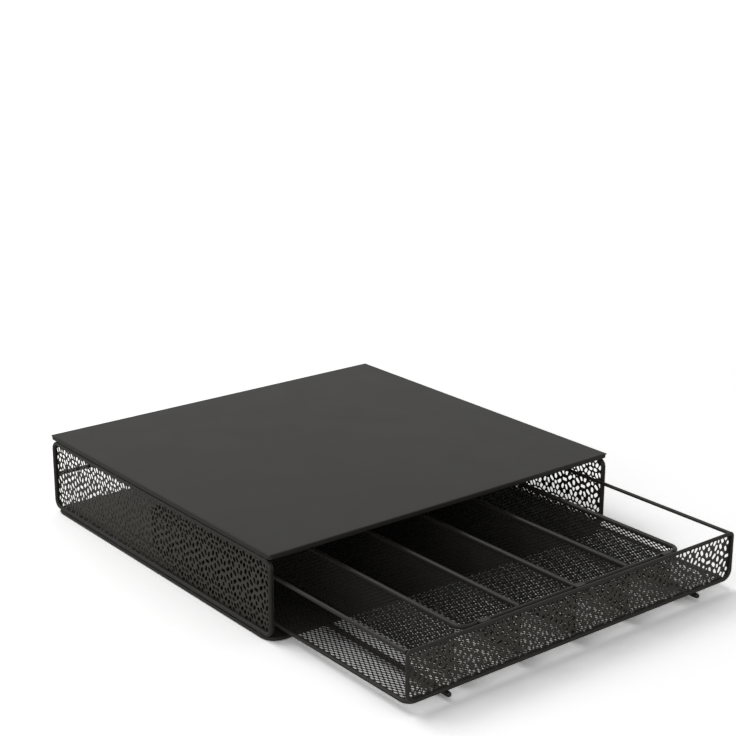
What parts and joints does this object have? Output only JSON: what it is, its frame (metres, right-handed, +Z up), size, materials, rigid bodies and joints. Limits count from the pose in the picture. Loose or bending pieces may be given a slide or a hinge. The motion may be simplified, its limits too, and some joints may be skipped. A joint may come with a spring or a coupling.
{
  "type": "coffee pod drawer",
  "caption": "Low black steel housing that carries a coffee maker on its flat top, with a wire and mesh drawer that slides out to hold coffee pods in lanes.",
  "frame": {"origin": "on the counter, at the centre of the whole footprint with the drawer open as modelled", "axes": "+Z up, -Y is the front, where the drawer pulls out, and +X is to the right when the front is faced"},
  "size_m": [0.345, 0.4715, 0.07],
  "materials": {
    "platform_sheet": "satin black powder-coated sheet steel",
    "coated_wire": "satin black powder-coated steel wire",
    "perforated_sheet": "satin black powder-coated perforated sheet steel",
    "fine_mesh": "black powder-coated expanded steel mesh",
    "foot_rubber": "matt black rubber"
  },
  "bodies": {
    "housing": {"top_panel": "platform_sheet", "base_pan": "platform_sheet", "left_side_frame": "coated_wire", "right_side_frame": "coated_wire", "left_side_panel": "perforated_sheet", "right_side_panel": "perforated_sheet", "back_rail": "coated_wire", "top_spacer_welds": "coated_wire", "base_spacer_welds": "coated_wire", "rubber_feet": "foot_rubber", "left_runner_keeper": "platform_sheet", "right_runner_keeper": "platform_sheet"},
    "drawer": {"front_frame": "coated_wire", "back_frame": "coated_wire", "left_top_rail": "coated_wire", "right_top_rail": "coated_wire", "floor_rail": "coated_wire", "front_panel": "perforated_sheet", "back_mesh": "fine_mesh", "floor_mesh": "fine_mesh", "left_runner": "coated_wire", "right_runner": "coated_wire", "divider_ring": "coated_wire", "left_divider_wire": "coated_wire", "middle_divider_wire": "coated_wire", "right_divider_wire": "coated_wire", "far_left_divider_mesh": "fine_mesh", "left_divider_mesh": "fine_mesh", "middle_divider_mesh": "fine_mesh", "right_divider_mesh": "fine_mesh", "far_right_divider_mesh": "fine_mesh", "divider_tabs": "coated_wire"}
  },
  "joints": [
    {"name": "drawer_slide", "type": "slide", "parent": "housing", "child": "drawer", "axis": [0, -1, 0], "range_m": [-0.1445, 0.106]}
  ]
}
